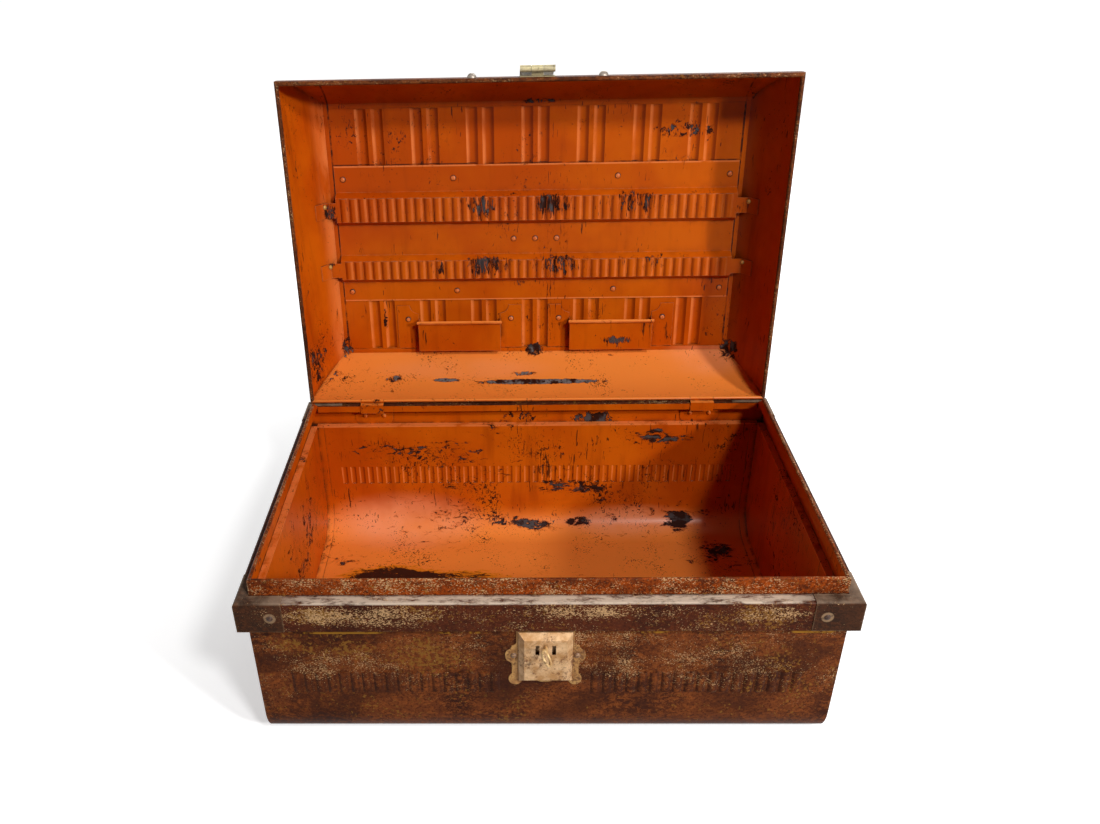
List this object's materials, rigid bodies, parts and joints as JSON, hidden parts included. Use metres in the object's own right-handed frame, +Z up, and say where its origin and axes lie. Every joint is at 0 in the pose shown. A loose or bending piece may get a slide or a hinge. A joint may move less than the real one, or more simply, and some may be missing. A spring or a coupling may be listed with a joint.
{
  "type": "dome top trunk",
  "caption": "Open tin trunk with a coved dome-top lid, mitred collar and lip, fluted lid stiffener, lid pockets, brass lock with key, swinging hasp and drop handles.",
  "frame": {"origin": "middle of the underside of the floor", "axes": "+Z up, the front with the lock faces -Y, +X to the right seen from the front"},
  "size_m": [0.6326, 0.5654, 0.6336],
  "materials": {
    "base_tin": "grained brown paint outside, orange enamel inside, worn",
    "collar_tin": "brown paint worn to rust, orange enamel inside",
    "cap_tin": "dark brown paint, rubbed",
    "lid_tin": "orange enamel inside, grained brown paint outside",
    "press_tin": "orange enamel, chipped",
    "steel": "painted over or tarnished",
    "brass": "aged",
    "iron": "dark, worn"
  },
  "bodies": {
    "base": {"base_wrap": "base_tin", "base_end_left": "base_tin", "base_end_right": "base_tin", "collar_front": "collar_tin", "collar_back": "collar_tin", "collar_left": "collar_tin", "collar_right": "collar_tin", "corner_cap_front_left": "cap_tin", "corner_cap_front_right": "cap_tin", "corner_cap_back_left": "cap_tin", "corner_cap_back_right": "cap_tin", "cap_rivets": "steel", "hinge_strap_left": "steel", "hinge_strap_right": "steel", "hinge_rivets": "steel", "lock_plate": "brass", "lock_case": "brass", "lock_key_post": "brass", "lock_spring": "steel", "lock_rivets": "brass", "handle_plate_left": "iron", "handle_plate_right": "iron", "handle_rivets": "steel"},
    "lid": {"lid_back_wall": "lid_tin", "lid_front_wall": "lid_tin", "lid_end_left": "lid_tin", "lid_end_right": "lid_tin", "hinge_wire": "steel", "lid_top_panel": "lid_tin", "lid_stiffener": "press_tin", "stiffener_rivets": "steel", "pocket_left": "press_tin", "pocket_right": "press_tin", "pocket_rivets": "steel", "lid_studs": "steel", "hasp_leaf": "brass", "hasp_pin": "brass", "hasp_rivets": "brass"},
    "hasp": {"hasp_flap": "brass"},
    "key": {"lock_key": "steel"},
    "bolt": {"lock_bolt": "brass"},
    "handle_left": {"handle_bail_left": "iron"},
    "handle_right": {"handle_bail_right": "iron"}
  },
  "joints": [
    {"name": "lid_hinge", "type": "hinge", "parent": "base", "child": "lid", "pos_m": [0, 0.20465, 0.2098], "axis": [1, 0, 0], "range_deg": [0, 94]},
    {"name": "hasp_hinge", "type": "hinge", "parent": "lid", "child": "hasp", "pos_m": [0, 0.23602, 0.62974], "axis": [1, 0, 0], "range_deg": [0, 195]},
    {"name": "key_turn", "type": "hinge", "parent": "base", "child": "key", "pos_m": [0, -0.203, 0.149], "axis": [0, 1, 0], "range_deg": [0, 90]},
    {"name": "bolt_slide", "type": "slide", "parent": "base", "child": "bolt", "axis": [1, 0, 0], "range_m": [0, 0.0028]},
    {"name": "handle_left_swing", "type": "hinge", "parent": "base", "child": "handle_left", "pos_m": [-0.3097, 0, 0.122], "axis": [0, 1, 0], "range_deg": [0, 170]},
    {"name": "handle_right_swing", "type": "hinge", "parent": "base", "child": "handle_right", "pos_m": [0.3097, 0, 0.122], "axis": [0, -1, 0], "range_deg": [0, 170]}
  ],
  "couplings": [
    {"joint": "bolt_slide", "follows": "key_turn", "m_per_rad": 0.00178}
  ]
}
